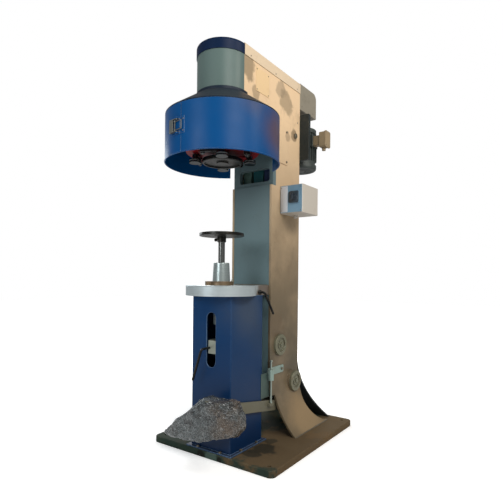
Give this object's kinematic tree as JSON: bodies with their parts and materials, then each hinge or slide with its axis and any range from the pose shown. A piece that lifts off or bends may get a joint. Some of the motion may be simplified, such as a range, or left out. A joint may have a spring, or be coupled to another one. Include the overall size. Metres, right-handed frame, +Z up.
{
  "type": "can seamer",
  "caption": "Floor-standing can seamer: a column with an overhanging seaming head, a round guard with a door, a treadle-raised can plate on a pedestal, and a belt-driven motor.",
  "frame": {"origin": "on the floor under the spindle axis", "axes": "+Z up along the spindle, -Y towards the operator, +Y towards the column"},
  "size_m": [0.744, 1.0816, 2.012],
  "materials": {
    "paint_grey": "gloss, chipped",
    "paint_blue": "gloss",
    "paint_navy": "gloss",
    "paint_red": "satin",
    "paint_cream": "satin",
    "paint_dark": "satin",
    "paint_starter": "satin",
    "panel_blue": "satin",
    "machined_steel": "machined",
    "bright_steel": "polished",
    "dark_steel": "oiled",
    "cast": "as cast",
    "motor_paint": "satin",
    "box_tan": "satin",
    "zinc": "satin",
    "belt": "matte",
    "black_plastic": "satin",
    "film": "crumpled"
  },
  "bodies": {
    "frame": {"base_plate": "paint_dark", "right_side_plate": "paint_grey", "left_side_plate": "paint_grey", "lower_front_plate": "paint_grey", "upper_front_plate": "paint_grey", "rear_plate": "paint_dark", "head_casing": "paint_grey", "head_cap": "paint_navy", "arm_lid": "paint_cream", "bearing_housing": "cast", "spindle_bearings": "bright_steel", "v_belt": "belt", "chuck_shaft": "machined_steel", "chuck": "machined_steel", "motor_plate": "paint_dark", "motor_body": "motor_paint", "fan_cover": "motor_paint", "terminal_box": "box_tan", "belt_guard": "box_tan", "guard_fixed_half": "paint_blue", "hinge_leaf": "paint_cream", "guard_cone": "paint_navy", "pedestal": "paint_blue", "table_plate": "machined_steel", "lifter_sleeve": "machined_steel", "lock_ring": "machined_steel", "pivot_shafts": "machined_steel", "rod_guide": "machined_steel", "switch_box": "paint_starter", "switch_panel": "panel_blue", "data_plate": "zinc", "frame_bolts": "zinc"},
    "head": {"head_spindle": "machined_steel", "driven_pulley": "cast", "roll_carrier": "paint_red"},
    "cam": {"cam_disc": "machined_steel"},
    "motor": {"motor_pulley": "cast"},
    "door": {"guard_door": "paint_blue"},
    "latch_lever": {"latch_lever": "zinc"},
    "latch_loop": {"latch_loop": "zinc"},
    "lifter": {"lifter_shaft": "bright_steel", "lift_collar": "machined_steel"},
    "can_plate": {"lifter_disc": "dark_steel"},
    "collar_handle": {"collar_handle": "dark_steel"},
    "table_handle": {"table_handle": "dark_steel"},
    "pedal": {"pedal_lever": "paint_grey", "pedal_wrap": "film"},
    "rocker": {"lift_rocker": "cast"},
    "pull_link": {"pull_link": "dark_steel"},
    "return_rod": {"return_rod": "bright_steel"},
    "switch_knob": {"switch_knob": "black_plastic"},
    "lever_1": {"roll_lever_1": "cast"},
    "roll_1": {"seam_roll_1": "bright_steel"},
    "lever_2": {"roll_lever_2": "cast"},
    "roll_2": {"seam_roll_2": "bright_steel"},
    "lever_3": {"roll_lever_3": "cast"},
    "roll_3": {"seam_roll_3": "bright_steel"},
    "lever_4": {"roll_lever_4": "cast"},
    "roll_4": {"seam_roll_4": "bright_steel"}
  },
  "joints": [
    {"name": "head_spin", "type": "hinge", "parent": "frame", "child": "head", "pos_m": [0, 0, 1.6], "axis": [0, 0, 1], "continuous": true},
    {"name": "cam_turn", "type": "hinge", "parent": "head", "child": "cam", "pos_m": [0, 0, 1.536], "axis": [0, 0, 1], "range_deg": [-30, 30]},
    {"name": "motor_spin", "type": "hinge", "parent": "frame", "child": "motor", "pos_m": [0.06, 0.68, 1.8], "axis": [0, 0, 1], "continuous": true},
    {"name": "door_hinge", "type": "hinge", "parent": "frame", "child": "door", "pos_m": [0.1395, 0.258, 1.54], "axis": [0, 0, 1], "range_deg": [0, 110]},
    {"name": "table_clamp", "type": "hinge", "parent": "frame", "child": "table_handle", "pos_m": [0.12, 0.165, 0.798], "axis": [1, 0, 0], "range_deg": [-30, 30]},
    {"name": "lifter_slide", "type": "slide", "parent": "frame", "child": "lifter", "axis": [0, 0, 1], "range_m": [0, 0.0335]},
    {"name": "can_plate_spin", "type": "hinge", "parent": "lifter", "child": "can_plate", "pos_m": [0, 0, 1.08], "axis": [0, 0, 1], "continuous": true},
    {"name": "collar_clamp", "type": "hinge", "parent": "lifter", "child": "collar_handle", "pos_m": [-0.015, -0.07, 0.528], "axis": [0, -1, 0], "range_deg": [-30, 30]},
    {"name": "pedal_hinge", "type": "hinge", "parent": "frame", "child": "pedal", "pos_m": [0, 0.48, 0.291], "axis": [1, 0, 0], "range_deg": [0, 5.5], "stiffness_Nm_per_rad": 200, "springref_deg": -11.46},
    {"name": "rocker_hinge", "type": "hinge", "parent": "frame", "child": "rocker", "pos_m": [0, 0.345, 0.509], "axis": [1, 0, 0], "range_deg": [-5.5, 0]},
    {"name": "link_pivot", "type": "hinge", "parent": "pedal", "child": "pull_link", "pos_m": [0.084, 0.4125, 0.291], "axis": [1, 0, 0], "range_deg": [-5.4, 0]},
    {"name": "rod_slide", "type": "slide", "parent": "frame", "child": "return_rod", "axis": [0, 0, -1], "range_m": [0, 0.0228]},
    {"name": "switch_turn", "type": "hinge", "parent": "frame", "child": "switch_knob", "pos_m": [0.217, 0.333, 1.306], "axis": [0, -1, 0], "range_deg": [0, 90]},
    {"name": "latch_pivot", "type": "hinge", "parent": "frame", "child": "latch_lever", "pos_m": [-0.03137, -0.28833, 1.553], "axis": [0, 0, 1], "range_deg": [0, 100]},
    {"name": "loop_pivot", "type": "hinge", "parent": "latch_lever", "child": "latch_loop", "pos_m": [-0.04527, -0.28662, 1.553], "axis": [0, 0, 1], "range_deg": [-100, 0]},
    {"name": "lever_1_pivot", "type": "hinge", "parent": "head", "child": "lever_1", "pos_m": [0.15, 0, 1.5], "axis": [0, 0, 1], "range_deg": [-2.9, 2.9]},
    {"name": "roll_1_spin", "type": "hinge", "parent": "lever_1", "child": "roll_1", "pos_m": [0.10717, 0.08373, 1.46], "axis": [0, 0, 1], "continuous": true},
    {"name": "lever_2_pivot", "type": "hinge", "parent": "head", "child": "lever_2", "pos_m": [0, 0.15, 1.5], "axis": [0, 0, 1], "range_deg": [-2.9, 2.9]},
    {"name": "roll_2_spin", "type": "hinge", "parent": "lever_2", "child": "roll_2", "pos_m": [-0.08373, 0.10717, 1.46], "axis": [0, 0, 1], "continuous": true},
    {"name": "lever_3_pivot", "type": "hinge", "parent": "head", "child": "lever_3", "pos_m": [-0.15, 0, 1.5], "axis": [0, 0, 1], "range_deg": [-2.9, 2.9]},
    {"name": "roll_3_spin", "type": "hinge", "parent": "lever_3", "child": "roll_3", "pos_m": [-0.10717, -0.08373, 1.46], "axis": [0, 0, 1], "continuous": true},
    {"name": "lever_4_pivot", "type": "hinge", "parent": "head", "child": "lever_4", "pos_m": [0, -0.15, 1.5], "axis": [0, 0, 1], "range_deg": [-2.9, 2.9]},
    {"name": "roll_4_spin", "type": "hinge", "parent": "lever_4", "child": "roll_4", "pos_m": [0.08373, -0.10717, 1.46], "axis": [0, 0, 1], "continuous": true}
  ],
  "couplings": [
    {"joint": "motor_spin", "follows": "head_spin", "ratio": 3.1429},
    {"joint": "lifter_slide", "follows": "pedal_hinge", "m_per_rad": 0.345},
    {"joint": "rocker_hinge", "follows": "pedal_hinge", "ratio": -1},
    {"joint": "link_pivot", "follows": "pedal_hinge", "ratio": -0.96},
    {"joint": "rod_slide", "follows": "pedal_hinge", "m_per_rad": 0.234},
    {"joint": "loop_pivot", "follows": "latch_pivot", "ratio": -1},
    {"joint": "lever_1_pivot", "follows": "cam_turn", "ratio": 0.093333},
    {"joint": "lever_2_pivot", "follows": "cam_turn", "ratio": -0.093333},
    {"joint": "lever_3_pivot", "follows": "cam_turn", "ratio": 0.093333},
    {"joint": "lever_4_pivot", "follows": "cam_turn", "ratio": -0.093333}
  ]
}
